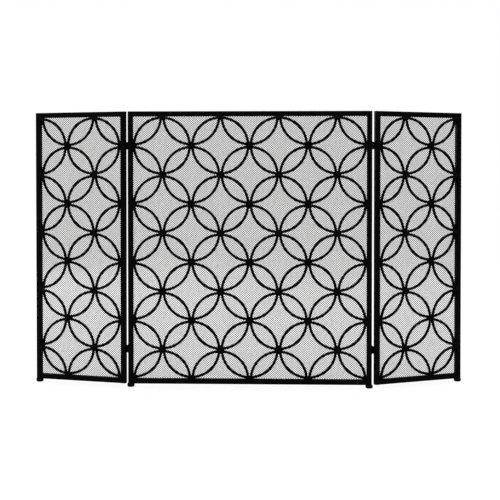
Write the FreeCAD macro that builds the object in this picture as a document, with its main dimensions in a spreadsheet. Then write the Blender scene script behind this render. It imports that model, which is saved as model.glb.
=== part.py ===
import FreeCAD, Part
import math
import os
import re
import Sketcher

# Folding three-panel fireplace screen: square tube frames filled with two layers of touching rod
# rings, backed with wire cloth that flat strips and rivets hold to the frames.
# All lengths are in millimetres. +Z is up and the front of the screen faces -Y. Every panel is
# drawn in a frame of its own: x along the panel, y through its depth, z up from the floor. The
# origin of a wing's frame is its hinge axis, and the centre panel's is the panel's middle.

SIZES = {
    "tube": 14.4,              # square tube, outer side
    "wall": 1.2,               # tube wall
    "pitch": 83.5,             # half the pitch of the ring lattice
    "rod": 8.0,                # ring rod diameter
    "ringGap": 0.05,           # gap left at each point where rings nearly touch
    "footHeight": 9.5,
    "footWidth": 21.0,
    "footRound": 2.6,          # rounding of a foot's lower edge
    "spigot": 11.9,            # square spigot of a foot or plug, a slide fit in the tube
    "spigotHeight": 12.0,
    "gap": 4.0,                # between the facing stiles when the screen stands straight
    "hingeBack": 12.2,        # hinge axis behind the middle plane of the panels
    "hingeHeight": 21.0,
    "leaf": 1.2,               # hinge leaf thickness
    "leafFront": 4.0,          # a leaf reaches this far in front of the middle plane
    "barrel": 6.5,             # hinge barrel diameter
    "pin": 3.0,
    "pinHead": 5.2,
    "pinHeadHeight": 1.4,
    "pinTailHeight": 0.8,
    "running": 0.05,           # radial clearance of the pin in its knuckles
    "knuckleGap": 0.4,
    "cloth": 2.0,              # wire cloth with its edge, through the depth
    "clothInset": 2.8,         # cloth edge from the frame's outer edge
    "strip": 9.5,
    "stripThick": 1.6,
    "stripInset": 2.3,         # strip edge from the frame's outer edge
    "rivetHead": 6.0,
    "rivetCrown": 4.4,
    "rivetHeadHeight": 1.2,
    "rivet": 3.2,
    "rivetHole": 3.3,
    "foldLeft": 12.5,          # degrees that the wings are folded back from straight
    "foldRight": 21.0,
    "middleX": 5.0,            # middle of the centre panel from the part's origin
    "middleY": -50.29,
}

ROWS = 9                       # lattice cells from the top of an opening to its bottom
HINGE_ROWS = {"upper": 1, "lower": 8}
RIVET_ROWS = (0.5, 2.5, 4.5, 6.5, 8.5)
RIVET_CELLS = {8: (1, 3, 5, 7), 3: (0.75, 2.25)}

FRAME_TOP = f"(footHeight + {ROWS} * pitch + 2 * tube)"
OPENING_LOW = "(footHeight + tube)"
CENTER_HALF = "(4 * pitch + tube)"
SHEET_WORD = re.compile(r"[A-Za-z]\w*")

doc = FreeCAD.newDocument("FireplaceScreen")
sheet = doc.addObject("Spreadsheet::Sheet", "Sizes")
for line, (alias, value) in enumerate(SIZES.items(), start=1):
    sheet.set(f"A{line}", alias)
    sheet.set(f"B{line}", str(value))
    sheet.setAlias(f"B{line}", alias)
doc.recompute()

nodes = []


def bind(obj, **formulas):
    """Sizes an object's properties from the sheet: each word in a formula is one of its cells."""
    for path, formula in formulas.items():
        bound = SHEET_WORD.sub(lambda word: "Sizes." + word.group(), str(formula))
        obj.setExpression(path.replace("_", "."), bound)
    return obj


def place(obj, x=0, y=0, z=0):
    return bind(obj, Placement_Base_x=x, Placement_Base_y=y, Placement_Base_z=z)


def box(x, y, z, length, width, height):
    """A box with its low corner at x, y, z."""
    solid = doc.addObject("Part::Box", "Block")
    bind(solid, Length=length, Width=width, Height=height)
    return place(solid, x, y, z)


def rod(x, y, z, diameter, height, across=False):
    """A cylinder that rises from x, y, z, or that runs to the back from there."""
    solid = doc.addObject("Part::Cylinder", "Rod")
    bind(solid, Radius=f"({diameter}) / 2", Height=height)
    if across:
        solid.Placement.Rotation = FreeCAD.Rotation(FreeCAD.Vector(1, 0, 0), -90)
    return place(solid, x, y, z)


def together(solids, kind="Part::MultiFuse"):
    """One object from several: fused, or kept apart as the solids of a Part::Compound."""
    group = doc.addObject(kind, "Group")
    if kind == "Part::Compound":
        group.Links = solids
    else:
        group.Shapes = solids
    return group


def carve(solid, cutters):
    for cutter in cutters:
        cut = doc.addObject("Part::Cut", "Carved")
        cut.Base = solid
        cut.Tool = cutter
        solid = cut
    return solid


class Panel:
    """One panel. Distances u run along it, away from the hinge axis on a wing."""

    def __init__(self, name, side, cells):
        self.name = name
        self.side = side
        self.cells = cells
        self.wing = name != "center"
        self.low = "(gap / 2)" if self.wing else f"(0 - {CENTER_HALF})"
        self.high = f"({self.low} + 2 * tube + {cells} * pitch)"
        self.depth = "(0 - hingeBack)" if self.wing else "0"

    def x(self, u):
        return f"({self.side} * ({u}))"

    def y(self, v):
        return f"({self.depth} + ({v}))"

    def z(self, row):
        """Height of a lattice row, counted down from the top of the opening."""
        return f"({OPENING_LOW} + {ROWS - row} * pitch)"

    def block(self, u, v, z, length, width, height):
        """A box from u towards the panel's far end, whichever way that is."""
        start = u if self.side > 0 else f"(({u}) + ({length}))"
        return box(self.x(start), self.y(v), z, length, width, height)

    def keep(self, label, solid):
        """Stands a finished sub-part where its panel stands and lists it as a node."""
        solid.Label = label
        if self.wing:
            fold = "foldRight" if self.side > 0 else "foldLeft"
            turn = self.side * SIZES[fold]
            solid.Placement.Rotation = FreeCAD.Rotation(FreeCAD.Vector(0, 0, 1), turn)
            place(solid, f"middleX + {self.side} * ({CENTER_HALF} + gap / 2)", "middleY + hingeBack")
        else:
            place(solid, "middleX", "middleY")
        nodes.append(solid)
        return solid


def mitre(panel, u, turn):
    """A block whose face slopes at 45 degrees through the frame's top corner at u. It lies on the
    upper side of that face for a turn of 45 or -45 degrees, and on the lower side for the others."""
    cutter = doc.addObject("Part::Box", "Mitre")
    bind(cutter, Length="3 * tube", Width="2 * tube", Height="2 * tube")
    angle = math.radians(turn)
    cutter.Placement.Rotation = FreeCAD.Rotation(FreeCAD.Vector(0, 1, 0), turn)
    back = f"{panel.x(u)} - {1.5 * math.cos(angle):.6f} * tube"
    rise = f"{FRAME_TOP} + {1.5 * math.sin(angle):.6f} * tube"
    return place(cutter, back, panel.y("0 - tube"), rise)


def rivetPlaces(panel):
    """Where the rivets sit: on the middle line of each strip, as (u, z) pairs."""
    line = "(stripInset + strip / 2)"
    places = []
    for end in (f"{panel.low} + {line}", f"{panel.high} - {line}"):
        for row in RIVET_ROWS:
            places.append((end, panel.z(row)))
    for height in (f"footHeight + {line}", f"{FRAME_TOP} - {line}"):
        for cell in RIVET_CELLS[panel.cells]:
            places.append((f"{panel.low} + tube + {cell} * pitch", height))
    return places


def makeRivets(panel):
    """Tapered heads behind the strips, with shanks that reach through the tube's rear wall."""
    rivets = []
    seat = panel.y("tube / 2 + cloth + stripThick")
    for u, z in rivetPlaces(panel):
        head = doc.addObject("Part::Cone", "Head")
        bind(head, Radius1="rivetHead / 2", Radius2="rivetCrown / 2", Height="rivetHeadHeight")
        head.Placement.Rotation = FreeCAD.Rotation(FreeCAD.Vector(1, 0, 0), -90)
        place(head, panel.x(u), seat, z)
        grip = "(2 * wall + cloth + stripThick)"
        long = f"{grip} + rivetHeadHeight / 2"
        shank = rod(panel.x(u), f"{seat} - {grip}", z, "rivet", long, across=True)
        rivets.append(together([head, shank]))
    panel.keep(f"{panel.name}_rivets", together(rivets, "Part::Compound"))


def rivetHoles(panel):
    holes = []
    for u, z in rivetPlaces(panel):
        holes.append(rod(panel.x(u), panel.y("0"), z, "rivetHole", "tube + cloth", across=True))
    return together(holes, "Part::Compound")


def makeStile(panel, label, u, holes, mitred, turn):
    height = f"({FRAME_TOP} - footHeight)"
    tube = panel.block(u, "0 - tube / 2", "footHeight", "tube", "tube", height)
    inner = "(tube - 2 * wall)"
    long = f"{height} + 2 * tube"
    bore = panel.block(f"({u}) + wall", f"0 - {inner} / 2", "footHeight - tube", inner, inner, long)
    panel.keep(label, carve(tube, [bore, mitre(panel, mitred, turn), holes]))


def makeRails(panel, holes):
    """The bottom rail stands between the stiles; the top rail meets them in mitres."""
    inner = "(tube - 2 * wall)"
    opening = f"({panel.cells} * pitch)"
    start = f"({panel.low} + tube)"
    tube = panel.block(start, "0 - tube / 2", "footHeight", opening, "tube", "tube")
    long = f"{opening} + 2 * tube"
    bore = panel.block(panel.low, f"0 - {inner} / 2", "footHeight + wall", long, inner, inner)
    panel.keep(f"{panel.name}_bottom_rail", carve(tube, [bore, holes]))
    top = f"({FRAME_TOP} - tube)"
    tube = panel.block(panel.low, "0 - tube / 2", top, long, "tube", "tube")
    start = f"({panel.low} - tube)"
    bore = panel.block(start, f"0 - {inner} / 2", f"{top} + wall", f"{long} + 2 * tube", inner, inner)
    ends = [mitre(panel, panel.low, 180 + 45 * panel.side)]
    ends.append(mitre(panel, panel.high, 180 - 45 * panel.side))
    panel.keep(f"{panel.name}_top_rail", carve(tube, [bore, *ends, holes]))


def makeCloth(panel, holes):
    """The wire cloth as a plain plate. It lies on the rear of the frame, short of its outer edge."""
    length = f"{panel.high} - {panel.low} - 2 * clothInset"
    height = f"{FRAME_TOP} - footHeight - 2 * clothInset"
    start = f"({panel.low} + clothInset)"
    plate = panel.block(start, "tube / 2", "footHeight + clothInset", length, "cloth", height)
    panel.keep(f"{panel.name}_wire_cloth", carve(plate, [holes]))


def makeStrips(panel, holes, ends):
    """Upright strips run the full height, and level strips fit between them."""
    behind = "tube / 2 + cloth"
    height = f"{FRAME_TOP} - footHeight - 2 * stripInset"
    starts = (f"{panel.low} + stripInset", f"{panel.high} - stripInset - strip")
    for end, start in zip(ends, starts):
        flat = panel.block(start, behind, "footHeight + stripInset", "strip", "stripThick", height)
        panel.keep(f"{panel.name}_{end}_strip", carve(flat, [holes]))
    start = f"({panel.low} + stripInset + strip)"
    between = f"{panel.high} - {panel.low} - 2 * (stripInset + strip)"
    levels = {"bottom": "footHeight + stripInset", "top": f"{FRAME_TOP} - stripInset - strip"}
    for end, level in levels.items():
        flat = panel.block(start, behind, level, between, "stripThick", "strip")
        panel.keep(f"{panel.name}_{end}_strip", carve(flat, [holes]))


def ringArc(panel, cell, row):
    """Start and sweep, in degrees, of the part of a ring that lies inside the opening."""
    quarters = []
    for quarter, (right, up) in enumerate([(1, 1), (-1, 1), (-1, -1), (1, -1)]):
        outward = right * panel.side
        inside = not (cell == 0 and outward < 0) and not (cell == panel.cells and outward > 0)
        inside = inside and not (row == 0 and up > 0) and not (row == ROWS and up < 0)
        if inside:
            quarters.append(quarter)
    start = 0
    if len(quarters) < 4:
        start = next(q for q in quarters if (q - 1) % 4 not in quarters)
    return 90 * start, 90 * len(quarters)


def makeRings(panel, groups):
    """Rings centred on every second point of the lattice. Even rows form the back layer, next to
    the cloth, and odd rows the one in front of it, which stands just proud of the frame. Rings of
    one layer touch, and those on the opening's edge are part rings."""
    solids = {label: [] for label in groups.values()}
    for row in range(ROWS + 1):
        for cell in range(row % 2, panel.cells + 1, 2):
            start, sweep = ringArc(panel, cell, row)
            edge = {360: "full", 90: "quarter"}.get(sweep)
            if edge is None:
                edge = "side" if cell in (0, panel.cells) else "end"
            if edge == "full":
                edge = "front" if row % 2 else "back"
            ring = doc.addObject("Part::Torus", "Ring")
            bind(ring, Radius1="pitch - rod / 2 - ringGap", Radius2="rod / 2")
            ring.Angle3 = sweep
            upright = FreeCAD.Rotation(FreeCAD.Vector(1, 0, 0), 90)
            ring.Placement.Rotation = upright.multiply(FreeCAD.Rotation(FreeCAD.Vector(0, 0, 1), start))
            layer = f"tube / 2 - {1.5 if row % 2 else 0.5} * rod - {1 + row % 2} * ringGap"
            place(ring, panel.x(f"{panel.low} + tube + {cell} * pitch"), panel.y(layer), panel.z(row))
            solids[groups[edge]].append(ring)
    for label, rings in solids.items():
        panel.keep(label, together(rings, "Part::Compound"))


def knuckle(panel, u, parts, reach):
    """Barrel sections of one leaf and the webs that tie them to it, as (low, high) heights."""
    web = f"({u} + {reach})"
    solids = []
    for low, high in parts:
        height = f"{high} - ({low})"
        solids.append(rod(panel.x(u), panel.y("hingeBack"), low, "barrel", height))
        solids.append(panel.block(web, "0 - leafFront", low, "leaf", "leafFront + hingeBack", height))
    return solids


def makeLeaf(panel, label, u, middle, reach, parts):
    """A hinge leaf flat on the side of its stile, cut back from the other leaf's knuckles."""
    low = f"({middle} - hingeHeight / 2)"
    depth = "leafFront + hingeBack - barrel / 2 - knuckleGap"
    plate = panel.block(f"({u} + {reach})", "0 - leafFront", low, "leaf", depth, "hingeHeight")
    solid = together([plate, *knuckle(panel, u, parts, reach)])
    long = "hingeHeight + 2 * tube"
    bore = rod(panel.x(u), panel.y("hingeBack"), f"{low} - tube", "pin + 2 * running", long)
    panel.keep(label, carve(solid, [bore]))


def makePin(panel, label, u, middle):
    low = f"({middle} - hingeHeight / 2)"
    x = panel.x(u)
    y = panel.y("hingeBack")
    shaft = rod(x, y, low, "pin", "hingeHeight")
    head = rod(x, y, f"{low} + hingeHeight", "pinHead", "pinHeadHeight")
    tail = rod(x, y, f"{low} - pinTailHeight", "(pin + pinHead) / 2", "pinTailHeight")
    panel.keep(label, together([shaft, head, tail]))


def makeHinge(center, wing, level, row):
    """A butt hinge behind the gap: two knuckles on the centre panel's leaf, one on the wing's."""
    name = f"{wing.name.split('_')[0]}_{level}_hinge"
    middle = center.z(row)
    inner = "(hingeHeight / 6 - knuckleGap / 2)"
    outer = "(hingeHeight / 6 + knuckleGap / 2)"
    outside = [(f"{middle} - hingeHeight / 2", f"({middle} - {outer})"),
               (f"({middle} + {outer})", f"{middle} + hingeHeight / 2")]
    mirrored = Panel("center", wing.side, center.cells)
    axis = f"({CENTER_HALF} + gap / 2)"
    makeLeaf(mirrored, f"{name}_center_leaf", axis, middle, "(0 - gap / 2)", outside)
    makePin(mirrored, f"{name}_pin", axis, middle)
    inside = [(f"({middle} - {inner})", f"({middle} + {inner})")]
    makeLeaf(wing, f"{name}_wing_leaf", "0", middle, "(gap / 2 - leaf)", inside)


def rimEdges(pad, height):
    """Names of a round pad's circular edges at one height."""
    names = []
    for index, edge in enumerate(pad.Shape.Edges, start=1):
        rim = edge.BoundBox
        if rim.XLength > 1 and abs(rim.ZMin - height) < 0.01 and abs(rim.ZMax - height) < 0.01:
            names.append(f"Edge{index}")
    return names


def makeFoot(panel, label, u):
    """A round foot, rounded at its lower edge, with a square spigot that fills the stile's end."""
    body = doc.addObject("PartDesign::Body", "Foot")
    floor = next(plane for plane in body.Origin.OriginFeatures if plane.Role == "XY_Plane")
    circle = body.newObject("Sketcher::SketchObject", "Outline")
    circle.AttachmentSupport = [(floor, "")]
    circle.MapMode = "FlatFace"
    circle.addGeometry(Part.Circle(FreeCAD.Vector(), FreeCAD.Vector(0, 0, 1), SIZES["footWidth"] / 2))
    circle.addConstraint(Sketcher.Constraint("Coincident", 0, 3, -1, 1))
    circle.addConstraint(Sketcher.Constraint("Diameter", 0, SIZES["footWidth"]))
    circle.setExpression("Constraints[1]", "Sizes.footWidth")
    disc = body.newObject("PartDesign::Pad", "Disc")
    disc.Profile = circle
    bind(disc, Length="footHeight")
    doc.recompute()
    rounded = body.newObject("PartDesign::Fillet", "RoundedEdge")
    rounded.Base = (disc, rimEdges(disc, 0))
    bind(rounded, Radius="footRound")
    square = body.newObject("Sketcher::SketchObject", "Spigot")
    square.AttachmentSupport = [(floor, "")]
    square.MapMode = "FlatFace"
    half = SIZES["spigot"] / 2
    corners = [FreeCAD.Vector(half * a, half * b) for a, b in [(-1, -1), (1, -1), (1, 1), (-1, 1)]]
    for side, corner in enumerate(corners):
        square.addGeometry(Part.LineSegment(corner, corners[(side + 1) % 4]))
    for side in range(4):
        square.addConstraint(Sketcher.Constraint("Coincident", side, 2, (side + 1) % 4, 1))
        square.addConstraint(Sketcher.Constraint("Vertical" if side % 2 else "Horizontal", side))
    square.addConstraint(Sketcher.Constraint("Symmetric", 0, 1, 1, 2, -1, 1))
    square.addConstraint(Sketcher.Constraint("Distance", 0, 2 * half))
    square.setExpression("Constraints[9]", "Sizes.spigot")
    square.addConstraint(Sketcher.Constraint("Equal", 0, 1))
    spigot = body.newObject("PartDesign::Pad", "SpigotPad")
    spigot.Profile = square
    bind(spigot, Length="footHeight + spigotHeight")
    body.Tip = spigot
    shoe = together([body], "Part::Compound")
    place(body, panel.x(f"{u} + tube / 2"), panel.y("0"))
    panel.keep(label, shoe)


def makePlug(panel, label, u):
    """A square plug in the open lower end of a hinge-side stile, flush with the tube."""
    inset = "(tube - spigot) / 2"
    plug = panel.block(f"{u} + {inset}", "0 - spigot / 2", "footHeight", "spigot", "spigot", "spigotHeight")
    panel.keep(label, together([plug], "Part::Compound"))


def makePanel(panel, ends, groups):
    """The parts that every panel has. ends names its two stiles, starting at its low end."""
    holes = rivetHoles(panel)
    far = f"({panel.high} - tube)"
    makeStile(panel, f"{panel.name}_{ends[0]}_stile", panel.low, holes, panel.low, 45 * panel.side)
    makeStile(panel, f"{panel.name}_{ends[1]}_stile", far, holes, panel.high, -45 * panel.side)
    makeRails(panel, holes)
    makeRings(panel, groups)
    makeCloth(panel, holes)
    makeStrips(panel, holes, ends)
    makeRivets(panel)
    makeFoot(panel, f"{panel.name}_{ends[1]}_foot", far)


center = Panel("center", 1, 8)
leftWing = Panel("left_wing", -1, 3)
rightWing = Panel("right_wing", 1, 3)

makePanel(center, ("left", "right"), {
    "front": "center_front_rings",
    "back": "center_back_rings",
    "side": "center_side_half_rings",
    "end": "center_end_half_rings",
    "quarter": "center_corner_rings",
})
makeFoot(center, "center_left_foot", center.low)
for wing in (leftWing, rightWing):
    makePanel(wing, ("hinge", "outer"), {
        "front": f"{wing.name}_full_rings",
        "back": f"{wing.name}_full_rings",
        "side": f"{wing.name}_half_rings",
        "end": f"{wing.name}_half_rings",
        "quarter": f"{wing.name}_corner_rings",
    })
    makePlug(wing, f"{wing.name}_stile_plug", wing.low)
    for level, row in HINGE_ROWS.items():
        makeHinge(center, wing, level, row)

doc.recompute()

for obj in doc.Objects:
    if {"Invalid", "Error"} & set(obj.State):
        raise RuntimeError(f"{obj.Label} failed: {obj.getStatusString()}")
for node in nodes:
    if node.Shape.isNull() or not node.Shape.isValid():
        raise RuntimeError(f"{node.Label} has no valid shape")

os.makedirs("parts", exist_ok=True)
for node in nodes:
    node.Shape.exportStep(f"parts/{node.Label}.step")
whole = Part.makeCompound([node.Shape for node in nodes]).BoundBox
print(len(nodes), "sub-parts")
print(f"x {whole.XMin:.2f} to {whole.XMax:.2f}")
print(f"y {whole.YMin:.2f} to {whole.YMax:.2f}")
print(f"z {whole.ZMin:.2f} to {whole.ZMax:.2f}")
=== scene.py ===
import math
import bpy
import numpy as np
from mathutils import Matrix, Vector


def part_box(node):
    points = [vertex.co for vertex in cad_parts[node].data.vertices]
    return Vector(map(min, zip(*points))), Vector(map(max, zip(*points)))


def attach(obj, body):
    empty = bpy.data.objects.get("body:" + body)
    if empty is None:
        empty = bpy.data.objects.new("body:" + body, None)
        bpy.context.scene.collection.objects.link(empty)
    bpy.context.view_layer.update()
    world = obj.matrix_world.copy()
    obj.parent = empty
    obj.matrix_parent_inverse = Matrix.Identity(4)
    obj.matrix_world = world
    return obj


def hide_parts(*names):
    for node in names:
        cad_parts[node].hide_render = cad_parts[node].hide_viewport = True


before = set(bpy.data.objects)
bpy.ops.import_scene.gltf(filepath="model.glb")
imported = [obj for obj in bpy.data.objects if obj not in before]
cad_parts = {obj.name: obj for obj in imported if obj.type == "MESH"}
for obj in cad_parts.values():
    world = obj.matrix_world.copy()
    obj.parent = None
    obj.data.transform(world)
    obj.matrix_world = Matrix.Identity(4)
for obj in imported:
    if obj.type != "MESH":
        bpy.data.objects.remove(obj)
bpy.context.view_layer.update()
print("frame loaded with", len(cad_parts), "nodes")

mm = 0.001
latticeRows = 9  # lattice cells between the top and bottom rails


def boxMiddle(node):
    low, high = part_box(node)
    return np.array((low + high) / 2)


def boxSize(node):
    low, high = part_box(node)
    return np.array(high - low)


# A panel's own axes: u runs along it from the outer face of its first stile, v runs to the
# back from the middle of the tubes, and z runs up from the floor. The centres of the round or
# square ends under the two stiles give its line.
def readPanel(name, body, cells, firstEnd, lastEnd, ends):
    first = boxMiddle(firstEnd)
    last = boxMiddle(lastEnd)
    along = (last - first) * np.array([1, 1, 0])
    span = float(np.linalg.norm(along))
    along = along / span
    back = np.array([-along[1], along[0], 0.0])
    mirrored = bool(back[1] < 0)
    if mirrored:
        back = -back
    bottomLow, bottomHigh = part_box(f"{name}_bottom_rail")
    tube = bottomHigh.z - bottomLow.z
    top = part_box(f"{name}_top_rail")[1].z
    origin = np.array([first[0], first[1], 0.0]) - along * tube / 2
    return {
        "name": name, "body": body, "cells": cells, "ends": ends, "mirrored": mirrored,
        "axes": np.array([along, back, [0, 0, 1]]), "origin": origin, "tube": tube,
        "width": span + tube, "low": bottomLow.z, "top": top,
        "pitch": (top - bottomLow.z - 2 * tube) / latticeRows,
    }


center = readPanel("center", "center", 8, "center_left_foot", "center_right_foot", ("left", "right"))
leftWing = readPanel("left_wing", "left_wing", 3, "left_wing_stile_plug", "left_wing_outer_foot",
                     ("hinge", "outer"))
rightWing = readPanel("right_wing", "right_wing", 3, "right_wing_stile_plug", "right_wing_outer_foot",
                      ("hinge", "outer"))
panels = [center, leftWing, rightWing]


# Depth of a node's front and back faces in its panel's v. A box that is turned with its panel
# is as wide along x and y as its length and thickness together, which two equations undo.
def depthRange(panel, node):
    along, back = panel["axes"][0], panel["axes"][1]
    size = boxSize(node)
    c, s = abs(along[0]), abs(along[1])
    thick = (size[1] * c - size[0] * s) / (c * c - s * s)
    centre = float(np.dot(boxMiddle(node) - panel["origin"], back))
    return centre - thick / 2, centre + thick / 2


# A solid is a list of points and a list of faces. Sections are closed outlines carried along a
# line, anticlockwise about its direction; quads join each section to the next, and a flat face
# closes each end unless the line itself closes.
def skinSections(sections, ring=False):
    rows, columns = sections.shape[:2]
    index = np.arange(rows * columns).reshape(rows, columns)
    lower = index if ring else index[:-1]
    upper = np.roll(index, -1, axis=0) if ring else index[1:]
    quads = np.stack([lower, np.roll(lower, -1, axis=1), np.roll(upper, -1, axis=1), upper], axis=-1)
    faces = quads.reshape(-1, 4).tolist()
    if not ring:
        faces += [index[0, ::-1].tolist(), index[-1].tolist()]
    return sections.reshape(-1, 3), faces


def joinSolids(solids):
    points, faces, start = [], [], 0
    for solidPoints, solidFaces in solids:
        points.append(solidPoints)
        faces += [[corner + start for corner in face] for face in solidFaces]
        start += len(solidPoints)
    return np.concatenate(points), faces


# Puts a solid from a panel's u, v, z into the frame. A mirrored panel turns its faces round.
def putPiece(name, panel, solid, material, nodes=(), sharp=35):
    points, faces = solid
    if panel["mirrored"]:
        if isinstance(faces, np.ndarray):
            faces = faces[:, ::-1]
        else:
            faces = [face[::-1] for face in faces]
    mesh = bpy.data.meshes.new(name)
    mesh.from_pydata(panel["origin"] + points @ panel["axes"], [], faces)
    mesh.shade_smooth()
    mesh.set_sharp_from_angle(angle=math.radians(sharp))
    mesh.materials.append(material)
    mesh.update()
    piece = bpy.data.objects.new(name, mesh)
    bpy.context.scene.collection.objects.link(piece)
    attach(piece, panel["body"])
    if nodes:
        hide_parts(*nodes)
    return piece


# Outline of a rectangle with quarter-circle corners, anticlockwise about its middle.
def roundedRectangle(width, height, radius, steps):
    turn = np.linspace(0, np.pi / 2, steps + 1)
    corners = []
    for quarter, (a, b) in enumerate([(1, 1), (-1, 1), (-1, -1), (1, -1)]):
        angle = turn + quarter * np.pi / 2
        x = a * (width / 2 - radius) + radius * np.cos(angle)
        y = b * (height / 2 - radius) + radius * np.sin(angle)
        corners.append(np.stack([x, y], axis=-1))
    return np.concatenate(corners)


# A bar with one outline from end to end. uprightBar stands along z and levelBar lies along u;
# each end is a height or distance for every point of the outline, so it can be cut on a slope.
def uprightBar(outline, u, v, startZ, endZ):
    x = u + outline[:, 0]
    y = v + outline[:, 1]
    ends = [np.stack([x, y, np.broadcast_to(z(x), x.shape)], axis=-1) for z in (startZ, endZ)]
    return skinSections(np.stack(ends))


def levelBar(outline, v, z, startU, endU):
    y = v + outline[:, 0]
    height = z + outline[:, 1]
    ends = [np.stack([np.broadcast_to(u(height), y.shape), y, height], axis=-1) for u in (startU, endU)]
    return skinSections(np.stack(ends))


def fixed(value):
    return lambda across: np.full(across.shape, value)


# A turned solid: each (radius, height) of the profile is swept round an axis through middle.
# The axis is 2 for z and 1 for v, and the profile starts and ends in flat faces.
def turned(profile, middle, axis, steps):
    profile = np.array(profile)
    angle = np.linspace(0, 2 * np.pi, steps, endpoint=False)
    sections = np.zeros((len(profile), steps, 3))
    first, second = {2: (0, 1), 1: (2, 0)}[axis]
    sections[:, :, first] = profile[:, :1] * np.cos(angle)
    sections[:, :, second] = profile[:, :1] * np.sin(angle)
    sections[:, :, axis] = profile[:, 1:]
    return skinSections(sections + np.array(middle))


# A socket with arithmetic: each sum, difference or product adds a Math node to the same tree.
class Value:
    def __init__(self, finish, socket):
        self.finish = finish
        self.socket = socket

    def combine(self, operation, first, second):
        return self.finish.node("ShaderNodeMath", {"operation": operation}, {0: first, 1: second})

    def __add__(self, other):
        return self.combine("ADD", self, other)

    def __radd__(self, other):
        return self.combine("ADD", other, self)

    def __sub__(self, other):
        return self.combine("SUBTRACT", self, other)

    def __rsub__(self, other):
        return self.combine("SUBTRACT", other, self)

    def __mul__(self, other):
        return self.combine("MULTIPLY", self, other)

    def __rmul__(self, other):
        return self.combine("MULTIPLY", other, self)

    def clamped(self):
        return self.finish.node("ShaderNodeClamp", {}, {"Value": self})


class Finish:
    def __init__(self, name):
        self.material = bpy.data.materials.new(name)
        self.material.use_nodes = True
        self.tree = self.material.node_tree
        self.shader = self.tree.nodes["Principled BSDF"]
        self.place = self.node("ShaderNodeTexCoord", {}, {}, "Object")

    # Any node: its settings first, then a value or a link for each named socket.
    def node(self, kind, settings, inputs, output=0):
        made = self.tree.nodes.new(kind)
        for setting, value in settings.items():
            setattr(made, setting, value)
        self.fill(made, inputs)
        return Value(self, made.outputs[output])

    def fill(self, made, inputs):
        for socket, value in inputs.items():
            if isinstance(value, Value):
                self.tree.links.new(value.socket, made.inputs[socket])
            else:
                made.inputs[socket].default_value = value

    def noise(self, scale, detail=2.0, roughness=0.5):
        inputs = {"Vector": self.place, "Scale": scale, "Detail": detail, "Roughness": roughness}
        return self.node("ShaderNodeTexNoise", {}, inputs)

    def blend(self, factor, first, second):
        inputs = {"Factor": factor, 6: first, 7: second}
        return self.node("ShaderNodeMix", {"data_type": "RGBA"}, inputs, 2)

    def bump(self, height, strength, distance):
        return self.node("ShaderNodeBump", {}, {"Height": height, "Strength": strength, "Distance": distance})

    def surface(self, **sockets):
        self.fill(self.shader, {name.replace("_", " "): value for name, value in sockets.items()})
        return self.material


paint = {
    "dark": (0.0018, 0.0018, 0.0020, 1),
    "light": (0.0060, 0.0058, 0.0056, 1),
    "patch": 9.0,       # noise scales are features per metre
    "peel": 420.0,
    "grit": 1900.0,
    "cloudShare": 0.7,  # of the tone; the grit makes the rest
    "roughness": 0.46,
    "swing": 0.16,      # how far the cloud and the grit move the roughness
    "gritSwing": 0.12,
    "gritHeight": 0.35,
    "bump": 0.6,
    "level": 0.16,
}


# Satin powder coat: a cloudy near-black, orange peel in the bump, and grit in the roughness.
def makePaint(name, rougher, peelHeight):
    finish = Finish(name)
    cloud = finish.noise(paint["patch"], 4.0, 0.6)
    grit = finish.noise(paint["grit"], 1.0)
    peel = finish.noise(paint["peel"], 2.0, 0.45)
    tone = (cloud * paint["cloudShare"] + grit * (1 - paint["cloudShare"])).clamped()
    roughness = paint["roughness"] + rougher
    return finish.surface(
        Base_Color=finish.blend(tone, paint["dark"], paint["light"]),
        Roughness=roughness + (cloud - 0.5) * paint["swing"] + (grit - 0.5) * paint["gritSwing"],
        Specular_IOR_Level=paint["level"],
        Normal=finish.bump(peel + grit * paint["gritHeight"], paint["bump"], peelHeight),
    )


wireLook = {
    "dark": (0.036, 0.026, 0.016, 1),
    "rubbed": (0.140, 0.098, 0.058, 1),
    "streak": 240.0,
    "roughness": 0.5,
    "swing": 0.3,
    "level": 0.25,
}


# Drawn wire with a baked coating: bronze-black, lighter where it has rubbed and duller in streaks.
def makeWireFinish():
    finish = Finish("bronze_black_wire")
    streak = finish.noise(wireLook["streak"], 3.0, 0.6)
    return finish.surface(
        Base_Color=finish.blend(streak, wireLook["dark"], wireLook["rubbed"]),
        Roughness=wireLook["roughness"] + (streak - 0.5) * wireLook["swing"],
        Specular_IOR_Level=wireLook["level"],
    )


rubberLook = {
    "dark": (0.0055, 0.0055, 0.0055, 1),
    "bloomed": (0.013, 0.013, 0.0125, 1),
    "bloom": 120.0,
    "grain": 1500.0,
    "grainHeight": 0.00012,
    "bump": 0.5,
    "roughness": 0.72,
    "swing": 0.2,
    "level": 0.25,
}


# Rubber with a faint bloom and a moulded grain.
def makeRubber():
    finish = Finish("black_rubber")
    bloom = finish.noise(rubberLook["bloom"], 4.0, 0.65)
    grain = finish.noise(rubberLook["grain"], 2.0)
    return finish.surface(
        Base_Color=finish.blend(bloom, rubberLook["dark"], rubberLook["bloomed"]),
        Roughness=rubberLook["roughness"] + (bloom - 0.5) * rubberLook["swing"],
        Specular_IOR_Level=rubberLook["level"],
        Normal=finish.bump(grain, rubberLook["bump"], rubberLook["grainHeight"]),
    )


steel = {
    "coated": (0.010, 0.010, 0.0105, 1),
    "bare": (0.085, 0.083, 0.080, 1),
    "rub": 420.0,
    "edge": 6.0,        # how sharply the coating gives way to bare metal
    "scratch": 2600.0,
    "scratchHeight": 0.00006,
    "bump": 0.35,
    "metallic": 0.9,
    "roughness": 0.5,
    "polish": 0.14,     # how much smoother the bare metal is
    "swing": 0.16,
    "level": 0.35,
}


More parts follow.
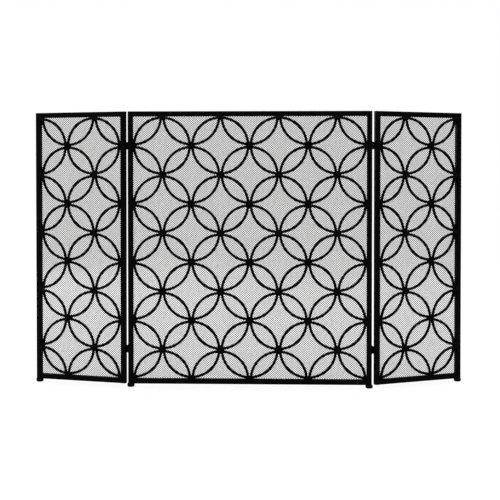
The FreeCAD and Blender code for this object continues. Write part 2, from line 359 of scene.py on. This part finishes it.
# Blackened steel that shows brighter metal where the coating has rubbed thin. The noise is
# stretched about its middle and shifted by wear, and a higher wear bares more metal.
def makeSteel(name, wear):
    finish = Finish(name)
    rub = finish.noise(steel["rub"], 5.0, 0.7)
    worn = ((rub - 0.5) * steel["edge"] + wear).clamped()
    scratch = finish.noise(steel["scratch"], 2.0)
    return finish.surface(
        Base_Color=finish.blend(worn, steel["coated"], steel["bare"]),
        Metallic=worn * steel["metallic"],
        Roughness=steel["roughness"] - worn * steel["polish"] + (scratch - 0.5) * steel["swing"],
        Specular_IOR_Level=steel["level"],
        Normal=finish.bump(scratch, steel["bump"], steel["scratchHeight"]),
    )


tubePaint = makePaint("satin_black_tube", rougher=0.0, peelHeight=0.00010)
rodPaint = makePaint("satin_black_rod", rougher=0.03, peelHeight=0.00007)
weldPaint = makePaint("painted_weld", rougher=0.05, peelHeight=0.00022)
stripPaint = makePaint("satin_black_strip", rougher=0.06, peelHeight=0.00009)
wireFinish = makeWireFinish()
rubber = makeRubber()
pinSteel = makeSteel("rubbed_pin_steel", wear=0.15)
rivetSteel = makeSteel("painted_rivet", wear=-0.55)
print("materials made")


frameTube = {"corner": 1.5 * mm, "cornerSteps": 4, "seam": 0.12 * mm}


# The stiles and the top rail meet in mitres with a hairline seam, and the bottom rail butts
# between the stiles. A mitred end is as far from the frame's outer corner as it is from its top.
def makeFrame(panel):
    name, tube, width = panel["name"], panel["tube"], panel["width"]
    low, top, seam = panel["low"], panel["top"], frameTube["seam"]
    outline = roundedRectangle(tube, tube, frameTube["corner"], frameTube["cornerSteps"])
    stiles = {
        panel["ends"][0]: (tube / 2, lambda u: top - u - seam),
        panel["ends"][1]: (width - tube / 2, lambda u: top - (width - u) - seam),
    }
    for end, (place, slope) in stiles.items():
        stile = uprightBar(outline, place, 0, fixed(low), slope)
        putPiece(f"{name}_{end}_stile_tube", panel, stile, tubePaint, [f"{name}_{end}_stile"])
    rail = levelBar(outline, 0, top - tube / 2, lambda z: top - z + seam, lambda z: width - (top - z) - seam)
    putPiece(f"{name}_top_rail_tube", panel, rail, tubePaint, [f"{name}_top_rail"])
    rail = levelBar(outline, 0, low + tube / 2, fixed(tube), fixed(width - tube))
    putPiece(f"{name}_bottom_rail_tube", panel, rail, tubePaint, [f"{name}_bottom_rail"])


ringRod = {"thick": boxSize("center_front_rings")[1], "gap": 0.05 * mm, "stepsPerQuarter": 28, "around": 14}
ringBead = {"length": 23 * mm, "width": 7.2 * mm, "depth": 6.8 * mm, "ripple": 0.04, "ripples": 9}


# Quarters of a ring, anticlockwise from +u, that lie inside the opening.
def insideQuarters(panel, cell, row):
    kept = []
    for quarter, (right, up) in enumerate([(1, 1), (-1, 1), (-1, -1), (1, -1)]):
        beside = (cell == 0 and right < 0) or (cell == panel["cells"] and right > 0)
        beyond = (row == 0 and up > 0) or (row == latticeRows and up < 0)
        if not beside and not beyond:
            kept.append(quarter)
    return kept


# Depth of the two ring layers: odd rows in front, even rows behind, as the centre panel has them.
layerNodes = ("center_back_rings", "center_front_rings")
layerDepths = [boxMiddle(node)[1] - center["origin"][1] for node in layerNodes]


def latticePoint(panel, cell, row):
    u = panel["tube"] + cell * panel["pitch"]
    z = panel["low"] + panel["tube"] + (latticeRows - row) * panel["pitch"]
    return u, z


# A rod bent to an arc: a circle of the rod's radius carried round a circle of the ring's.
def ringArc(panel, cell, row, quarters):
    u, z = latticePoint(panel, cell, row)
    radius = panel["pitch"] - ringRod["thick"] / 2 - ringRod["gap"]
    whole = len(quarters) == 4
    start = 0 if whole else next(q for q in quarters if (q - 1) % 4 not in quarters)
    steps = ringRod["stepsPerQuarter"] * len(quarters)
    sweep = len(quarters) * np.pi / 2
    angle = start * np.pi / 2 + np.linspace(0, sweep, steps + (not whole), endpoint=not whole)[:, None]
    around = np.linspace(0, 2 * np.pi, ringRod["around"], endpoint=False)[None, :]
    reach = radius + ringRod["thick"] / 2 * np.cos(around)
    depth = layerDepths[row % 2] + ringRod["thick"] / 2 * np.sin(around) + 0 * angle
    sections = np.stack([u + reach * np.cos(angle), depth, z + reach * np.sin(angle)], axis=-1)
    return skinSections(sections, ring=whole)


weldGrid = {"steps": 25, "around": 10, "reach": 0.985}


# A rippled weld: an egg shape whose half length, width and depth follow the groove it fills.
def weldAt(bead, u, z, depth, upright):
    along = np.linspace(-1, 1, weldGrid["steps"])[:, None] * weldGrid["reach"]
    swell = np.sqrt(1 - along ** 2) * (1 + bead["ripple"] * np.cos(along * np.pi * bead["ripples"]))
    angle = np.linspace(0, 2 * np.pi, weldGrid["around"], endpoint=False)[None, :]
    across = bead["width"] / 2 * swell * np.cos(angle)
    through = bead["depth"] / 2 * swell * np.sin(angle)
    length = bead["length"] / 2 * along + 0 * angle
    if upright:
        return skinSections(np.stack([u + across, depth + through, z + length], axis=-1))
    return skinSections(np.stack([u + length, depth + through, z + across], axis=-1)[:, ::-1])


# Rings stand on every second lattice point; the points between are where they touch, and are
# welded. Each layer has its own weld there, along the line where its two rings meet.
def makeRings(panel, groups):
    rods = {label: [] for label in groups.values()}
    welds = []
    for row in range(latticeRows + 1):
        for cell in range(panel["cells"] + 1):
            u, z = latticePoint(panel, cell, row)
            if (row + cell) % 2:
                welds.append(weldAt(ringBead, u, z, layerDepths[row % 2], True))
                welds.append(weldAt(ringBead, u, z, layerDepths[(row + 1) % 2], False))
                continue
            quarters = insideQuarters(panel, cell, row)
            kind = {4: "full", 1: "quarter"}.get(len(quarters))
            if kind is None:
                kind = "side" if cell in (0, panel["cells"]) else "end"
            if kind == "full":
                kind = "front" if row % 2 else "back"
            rods[groups[kind]].append(ringArc(panel, cell, row, quarters))
    for label, arcs in rods.items():
        putPiece(f"{label}_rods", panel, joinSolids(arcs), rodPaint, [label], sharp=50)
    putPiece(f"{panel['name']}_ring_welds", panel, joinSolids(welds), weldPaint, sharp=80)


wireCloth = {
    "cellWide": 6.95 * mm,
    "cellTall": 6.24 * mm,
    "wide": 1.24 * mm,
    "deep": 1.0 * mm,
    "crimp": 0.5 * mm,
}


# One set of parallel wires of a plain weave laid on the bias. Crossings lie at half cells, and
# wire n passes crossing m at a depth of crimp times cos(pi (m + n)). Each wire is cut where its
# line meets the sheet's edges, and its section is a lozenge at every crossing. Wires are numbered
# from the one through the sheet's middle; half is -1 for the lower numbers, 1 for the others and
# 0 for all of them.
def wireSet(halfWide, halfTall, slope, depth, crimp, half):
    stepU = wireCloth["cellWide"] / 2
    stepZ = wireCloth["cellTall"] / 2 * slope
    reach = int(max(halfWide / stepU, halfTall / abs(stepZ))) + 2
    wire = np.arange(-2 * reach if half <= 0 else 0, 2 * reach + 1 if half >= 0 else 0)[:, None]
    startU, startZ = wire * stepU, -wire * stepZ
    lowU, highU = (-halfWide - startU) / stepU, (halfWide - startU) / stepU
    edgeZ = np.sort(np.stack([(-halfTall - startZ) / stepZ, (halfTall - startZ) / stepZ]), axis=0)
    low, high = np.maximum(lowU, edgeZ[0]), np.minimum(highU, edgeZ[1])
    crossing = np.arange(-3 * reach, 3 * reach + 1)[None, :]
    place = np.clip(crossing, low, np.maximum(high, low))
    joined = (np.diff(place, axis=1) > 1e-6) & (high > low)
    height = depth + crimp * np.cos(np.pi * (place + wire))
    middle = np.stack([startU + place * stepU, height, startZ + place * stepZ], axis=-1)
    sideways = np.array([-stepZ, 0, stepU]) / math.hypot(stepU, stepZ) * wireCloth["wide"] / 2
    inwards = np.array([0, wireCloth["deep"] / 2, 0])
    ring = np.stack([sideways, -inwards, -sideways, inwards])
    sections = middle[:, :, None, :] + ring
    used = np.zeros(place.shape, bool)
    used[:, :-1] |= joined
    used[:, 1:] |= joined
    number = np.cumsum(used.reshape(-1)).reshape(used.shape) - 1
    corner = number[:, :, None] * 4 + np.arange(4)
    first, second = corner[:, :-1][joined], corner[:, 1:][joined]
    sides = np.stack([first, np.roll(first, -1, 1), np.roll(second, -1, 1), second], axis=-1).reshape(-1, 4)
    before = np.zeros_like(joined)
    before[:, 1:] = joined[:, :-1]
    after = np.zeros_like(joined)
    after[:, :-1] = joined[:, 1:]
    starts = corner[:, :-1][joined & ~before][:, ::-1]
    finishes = corner[:, 1:][joined & ~after]
    return sections[used].reshape(-1, 3), np.concatenate([sides, starts, finishes])


def makeCloth(panel):
    name = panel["name"]
    node = f"{name}_wire_cloth"
    front, back = depthRange(panel, node)
    low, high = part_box(node)
    inset = low.z - panel["low"]
    halfWide = panel["width"] / 2 - inset
    halfTall = (high.z - low.z) / 2
    shift = np.array([panel["width"] / 2, 0, (high.z + low.z) / 2])
    halves = {-1: "_low", 1: "_high"} if panel is center else {0: ""}
    for label, slope, crimp in (("rising", 1, wireCloth["crimp"]), ("falling", -1, -wireCloth["crimp"])):
        for half, end in halves.items():
            points, faces = wireSet(halfWide, halfTall, slope, (front + back) / 2, crimp, half)
            solid = points + shift, faces
            putPiece(f"{name}_{label}_wires{end}", panel, solid, wireFinish, [node], sharp=180)


flatBar = {"corner": 0.45 * mm, "cornerSteps": 2}
# A blind rivet's outline runs from its rim to its mandrel hole, as radius and height in
# millimetres. Its places are counted in lattice cells, across and down.
rivet = {
    "outline": [(3.0, -0.15), (3.0, 0.2), (2.85, 0.5), (2.5, 0.8),
                (1.9, 1.05), (1.25, 1.18), (0.95, 1.1), (0.85, 0.55)],
    "around": 16,
    "rows": (0.5, 2.5, 4.5, 6.5, 8.5),
    "centerCells": (1, 3, 5, 7),
    "wingCells": (0.75, 2.25),
}


def makeStrips(panel):
    name, width = panel["name"], panel["width"]
    front, back = depthRange(panel, f"{name}_top_strip")
    middle = (front + back) / 2
    bottomLow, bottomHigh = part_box(f"{name}_bottom_strip")
    topLow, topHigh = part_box(f"{name}_top_strip")
    wide = bottomHigh.z - bottomLow.z
    inset = bottomLow.z - panel["low"]
    upright = roundedRectangle(wide, back - front, flatBar["corner"], flatBar["cornerSteps"])
    level = roundedRectangle(back - front, wide, flatBar["corner"], flatBar["cornerSteps"])
    for end, place in zip(panel["ends"], (inset + wide / 2, width - inset - wide / 2)):
        bar = uprightBar(upright, place, middle, fixed(bottomLow.z), fixed(topHigh.z))
        putPiece(f"{name}_{end}_flat_strip", panel, bar, stripPaint, [f"{name}_{end}_strip"])
    for end, z in (("bottom", bottomLow.z + wide / 2), ("top", topLow.z + wide / 2)):
        bar = levelBar(level, middle, z, fixed(inset + wide), fixed(width - inset - wide))
        putPiece(f"{name}_{end}_flat_strip", panel, bar, stripPaint, [f"{name}_{end}_strip"])
    line = inset + wide / 2
    places = [(u, latticePoint(panel, 0, row)[1]) for u in (line, width - line) for row in rivet["rows"]]
    cells = rivet["centerCells"] if panel is center else rivet["wingCells"]
    for cell in cells:
        u = latticePoint(panel, cell, 0)[0]
        places += [(u, panel["low"] + line), (u, panel["top"] - line)]
    profile = np.array(rivet["outline"]) * mm
    heads = [turned(profile, (u, back, z), 1, rivet["around"]) for u, z in places]
    rivets = joinSolids(heads)
    putPiece(f"{name}_rivet_heads", panel, rivets, rivetSteel, [f"{name}_rivets"], sharp=50)


# A foot's outline runs from the floor up, as shares of its radius and its height.
foot = {
    "outline": [(0.70, 0.0), (0.80, 0.02), (0.885, 0.075), (0.945, 0.16), (0.985, 0.28),
                (1.0, 0.42), (1.0, 0.86), (0.985, 0.93), (0.94, 0.985), (0.88, 1.0)],
    "around": 40,
}


def makeFoot(panel, node, u):
    low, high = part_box(node)
    radius = (high.x - low.x) / 2
    height = panel["low"] - low.z
    profile = np.array(foot["outline"]) * np.array([radius, height])
    cap = turned(profile, (u, 0, low.z), 2, foot["around"])
    putPiece(f"{node}_cap", panel, cap, rubber, [node], sharp=40)


# A plug's outline as a share of its side, and its height above the stile's end.
plug = {
    "steps": [(0.90, -0.35 * mm), (0.97, -0.2 * mm), (1.0, 0.1 * mm), (1.0, 2.0 * mm)],
    "corner": 1.2 * mm,
    "cornerSteps": 3,
}


def makePlug(panel):
    node = f"{panel['name']}_stile_plug"
    front, back = depthRange(panel, node)
    side = back - front
    outline = roundedRectangle(side, side, plug["corner"], plug["cornerSteps"])
    sections = []
    for share, rise in plug["steps"]:
        height = np.full(len(outline), panel["low"] + rise)
        u = panel["tube"] / 2 + outline[:, 0] * share
        sections.append(np.column_stack([u, outline[:, 1] * share, height]))
    putPiece(f"{node}_cap", panel, skinSections(np.stack(sections)), rubber, [node])


hinge = {
    "leaf": 1.2 * mm,
    "barrel": 3.25 * mm,    # its radius
    "slack": 0.4 * mm,      # between two knuckles, and between plate and barrel
    "corner": 1.4 * mm,
    "cornerSteps": 4,
    "ease": 0.25 * mm,
    "easeSegments": 2,
    "easeAngle": 50,
    "steps": 26,
    "front": -4 * mm,       # the plate's front edge, from the middle of the tubes
    "overlap": 2 * mm,      # of knuckle on plate
    "play": 0.02 * mm,      # between knuckle and stile
}
hingeBead = {
    "length": 15 * mm,
    "width": 1.6 * mm,
    "depth": 1.8 * mm,
    "ripple": 0.08,
    "ripples": 11,
    "step": 0.2 * mm,       # how far the bead stands off the corner it fills
}
# The pin's outline in millimetres, as radius and height above the barrel's foot.
hingePin = {
    "outline": [(0.7, -0.8), (1.6, -0.8), (1.95, -0.62), (2.05, -0.35), (2.05, 0.0), (1.5, 0.02),
                (1.5, 20.98), (2.5, 21.0), (2.6, 21.15), (2.6, 21.7), (2.35, 22.1), (1.7, 22.33),
                (0.8, 22.4)],
    "around": 24,
}


# Rounds a piece's sharp edges by the ease, with a Bevel modifier.
def eased(piece):
    ease = piece.modifiers.new("eased_edges", "BEVEL")
    ease.width = hinge["ease"]
    ease.segments = hinge["easeSegments"]
    ease.limit_method = "ANGLE"
    ease.angle_limit = math.radians(hinge["easeAngle"])
    return piece


# A leaf's plate: a rounded rectangle in v and z, carried through the leaf's thickness.
def leafPlate(startU, endU, lowV, highV, lowZ, highZ):
    outline = roundedRectangle(highV - lowV, highZ - lowZ, hinge["corner"], hinge["cornerSteps"])
    v = (lowV + highV) / 2 + outline[:, 0]
    z = (lowZ + highZ) / 2 + outline[:, 1]
    ends = [np.stack([np.full(v.shape, u), v, z], axis=-1) for u in sorted((startU, endU))]
    return skinSections(np.stack(ends))


# A knuckle is rolled from its plate. In distances from the axis, its outline runs up the plate's
# inner and outer faces to the barrel's circle and goes round the back from one to the other.
def knuckle(axisU, axisV, side, startV, lowZ, highZ, plateFar):
    radius = hinge["barrel"]
    near = plateFar - hinge["leaf"]
    turn = np.linspace(-math.acos(plateFar / radius), 2 * math.pi - math.acos(near / radius), hinge["steps"])
    web = np.array([[near, startV - axisV], [plateFar, startV - axisV]])
    outline = np.concatenate([web, radius * np.stack([np.cos(turn), np.sin(turn)], axis=-1)])
    outline = outline * np.array([side, 1]) + np.array([axisU, axisV])
    if side < 0:
        outline = outline[::-1]
    ends = [np.column_stack([outline, np.full(len(outline), z)]) for z in (lowZ, highZ)]
    return skinSections(np.stack(ends))


# One leaf with its knuckles, on the side face of its stile at faceU, and a weld down its front.
def makeLeaf(panel, node, pin, faceU, knuckles):
    axis = boxMiddle(pin) - panel["origin"]
    axisU, axisV = float(axis @ panel["axes"][0]), float(axis @ panel["axes"][1])
    low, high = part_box(node)
    side = 1 if faceU > axisU else -1
    plateV = axisV - hinge["barrel"] - hinge["slack"]
    faces = (faceU, faceU - side * hinge["leaf"])
    solids = [leafPlate(*faces, hinge["front"], plateV, low.z, high.z)]
    far = abs(faceU - axisU) - hinge["play"]
    for start, end in knuckles:
        solids.append(knuckle(axisU, axisV, side, plateV - hinge["overlap"], start, end, far))
    eased(putPiece(f"{node}_rolled", panel, joinSolids(solids), tubePaint, [node], sharp=30))
    step = hingeBead["step"]
    middle = (low.z + high.z) / 2
    bead = weldAt(hingeBead, faceU - side * step, middle, hinge["front"] - step, True)
    putPiece(f"{node}_weld", panel, bead, weldPaint, sharp=80)


# A hinge's height is shared by three knuckles: the middle panel's leaf has the outer two.
def makeHinge(wing, side, level, centerFace):
    name = f"{side}_{level}_hinge"
    pin = f"{name}_pin"
    low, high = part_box(f"{name}_center_leaf")
    middle, third = (low.z + high.z) / 2, (high.z - low.z) / 6
    gap = hinge["slack"] / 2
    outerKnuckles = [(low.z, middle - third - gap), (middle + third + gap, high.z)]
    middleKnuckle = [(middle - third + gap, middle + third - gap)]
    makeLeaf(center, f"{name}_center_leaf", pin, centerFace, outerKnuckles)
    makeLeaf(wing, f"{name}_wing_leaf", pin, 0.0, middleKnuckle)
    axis = boxMiddle(pin) - center["origin"]
    profile = np.array(hingePin["outline"]) * mm
    shape = turned(profile, (axis[0], axis[1], low.z), 2, hingePin["around"])
    putPiece(f"{pin}_peened", center, shape, pinSteel, [pin], sharp=40)


print("shapes ready")

ringGroups = {
    "center": {"front": "center_front_rings", "back": "center_back_rings", "side": "center_side_half_rings",
               "end": "center_end_half_rings", "quarter": "center_corner_rings"},
}
for wing in (leftWing, rightWing):
    wingName = wing["name"]
    full, half = f"{wingName}_full_rings", f"{wingName}_half_rings"
    ringGroups[wingName] = {"front": full, "back": full, "side": half, "end": half,
                            "quarter": f"{wingName}_corner_rings"}

for panel in panels:
    makeFrame(panel)
    makeRings(panel, ringGroups[panel["name"]])
    makeCloth(panel)
    makeStrips(panel)
    print(panel["name"], "made")

makeFoot(center, "center_left_foot", center["tube"] / 2)
makeFoot(center, "center_right_foot", center["width"] - center["tube"] / 2)
for wing in (leftWing, rightWing):
    makeFoot(wing, f"{wing['name']}_outer_foot", wing["width"] - wing["tube"] / 2)
    makePlug(wing)
print("feet and plugs made")

for level in ("upper", "lower"):
    makeHinge(leftWing, "left", level, 0.0)
    makeHinge(rightWing, "right", level, center["width"])
print("hinges made")


studio = {
    "floorSize": 30.0,
    "floorColor": (0.52, 0.52, 0.52, 1),
    "floorPale": (0.55, 0.55, 0.55, 1),
    "floorGlow": 0.83,
    "level": 0.03,          # of the surroundings, low down
    "overhead": 0.5,
    "brightensFrom": 0.3,   # as the upward part of the direction
    "brightensTo": 0.85,
}
# Each softbox has a name, its place, what it faces, its two sides in metres and its watts.
softboxes = [
    ("overhead_softbox", (0.0, -0.3, 3.2), (0.0, 0.0, 0.0), (3.5, 2.5), 10),
    ("front_softbox", (-2.6, -2.4, 1.9), (0.0, 0.0, 0.4), (1.6, 1.6), 3),
    ("rear_left_softbox", (-2.2, 2.4, 1.7), (0.0, 0.0, 0.4), (1.4, 1.4), 22),
    ("rear_right_softbox", (2.6, 1.9, 1.1), (0.0, 0.0, 0.4), (1.0, 1.6), 12),
]
# Distances in metres and angles in degrees; the focal length is in the units of the width.
camera = {
    "distance": 2.6,
    "height": 0.5961,
    "side": 0.00126,
    "turn": 1.76,
    "tilt": 0.997,
    "focal": 910.8,
    "width": 500,
    "sensor": 36.0,
    "rise": -0.11,
    "farthest": 100.0,
}


def makeFloor():
    half = studio["floorSize"] / 2
    mesh = bpy.data.meshes.new("studio_floor")
    corners = [(-half, -half, 0), (half, -half, 0), (half, half, 0), (-half, half, 0)]
    mesh.from_pydata(corners, [], [(0, 1, 2, 3)])
    floor = bpy.data.objects.new("studio_floor", mesh)
    bpy.context.scene.collection.objects.link(floor)
    finish = Finish("pale_floor")
    speckle = finish.noise(3.0, 2.0)
    pale = finish.blend(speckle, studio["floorColor"], studio["floorPale"])
    path = finish.node("ShaderNodeLightPath", {}, {}, "Is Camera Ray")
    glow = finish.blend(path, (0, 0, 0, 1), (1, 1, 1, 1))
    mesh.materials.append(finish.surface(Base_Color=pale, Roughness=0.9, Specular_IOR_Level=0.0,
                                         Emission_Color=glow, Emission_Strength=studio["floorGlow"]))


# The surroundings are dim at the height of the screen, so that its metal stays black, and brighten
# overhead. A ray from the camera always meets plain white.
def makeSurroundings():
    world = bpy.data.worlds.new("studio")
    bpy.context.scene.world = world
    world.use_nodes = True
    tree = world.node_tree
    tree.nodes.clear()
    place = tree.nodes.new("ShaderNodeTexCoord")
    split = tree.nodes.new("ShaderNodeSeparateXYZ")
    tree.links.new(place.outputs["Generated"], split.inputs[0])
    ramp = tree.nodes.new("ShaderNodeMapRange")
    ramp.interpolation_type = "SMOOTHSTEP"
    limits = {"From Min": "brightensFrom", "From Max": "brightensTo", "To Min": "level", "To Max": "overhead"}
    for socket, setting in limits.items():
        ramp.inputs[socket].default_value = studio[setting]
    tree.links.new(split.outputs["Z"], ramp.inputs["Value"])
    path = tree.nodes.new("ShaderNodeLightPath")
    seen = tree.nodes.new("ShaderNodeMath")
    seen.operation = "MAXIMUM"
    tree.links.new(path.outputs["Is Camera Ray"], seen.inputs[0])
    tree.links.new(ramp.outputs["Result"], seen.inputs[1])
    glow = tree.nodes.new("ShaderNodeBackground")
    glow.inputs["Color"].default_value = (1, 1, 1, 1)
    tree.links.new(seen.outputs[0], glow.inputs["Strength"])
    out = tree.nodes.new("ShaderNodeOutputWorld")
    tree.links.new(glow.outputs[0], out.inputs["Surface"])


def makeSoftbox(name, place, target, side, power):
    lamp = bpy.data.lights.new(name, "AREA")
    lamp.shape = "RECTANGLE"
    lamp.size, lamp.size_y = side
    lamp.energy = power
    box = bpy.data.objects.new(name, lamp)
    bpy.context.scene.collection.objects.link(box)
    box.location = place
    box.rotation_euler = (Vector(target) - Vector(place)).to_track_quat("-Z", "Y").to_euler()


def makeCamera():
    lens = bpy.data.cameras.new("camera")
    lens.sensor_width = camera["sensor"]
    lens.lens = camera["focal"] / camera["width"] * lens.sensor_width
    lens.shift_y = camera["rise"]
    lens.clip_end = camera["farthest"]
    eye = bpy.data.objects.new("camera", lens)
    bpy.context.scene.collection.objects.link(eye)
    turn = math.radians(camera["turn"])
    middle = (boxMiddle("center_left_foot") + boxMiddle("center_right_foot")) / 2
    right = np.array([math.cos(turn), math.sin(turn), 0])
    forward = np.array([-math.sin(turn), math.cos(turn), 0])
    spot = middle * np.array([1, 1, 0]) - forward * camera["distance"] + right * camera["side"]
    eye.location = (spot[0], spot[1], camera["height"])
    eye.rotation_euler = (math.pi / 2 - math.radians(camera["tilt"]), 0, turn)
    bpy.context.scene.camera = eye


makeFloor()
makeSurroundings()
for softbox in softboxes:
    makeSoftbox(*softbox)
makeCamera()
bpy.context.scene.view_settings.view_transform = "Standard"
bpy.context.scene.view_settings.look = "None"
print("studio made")
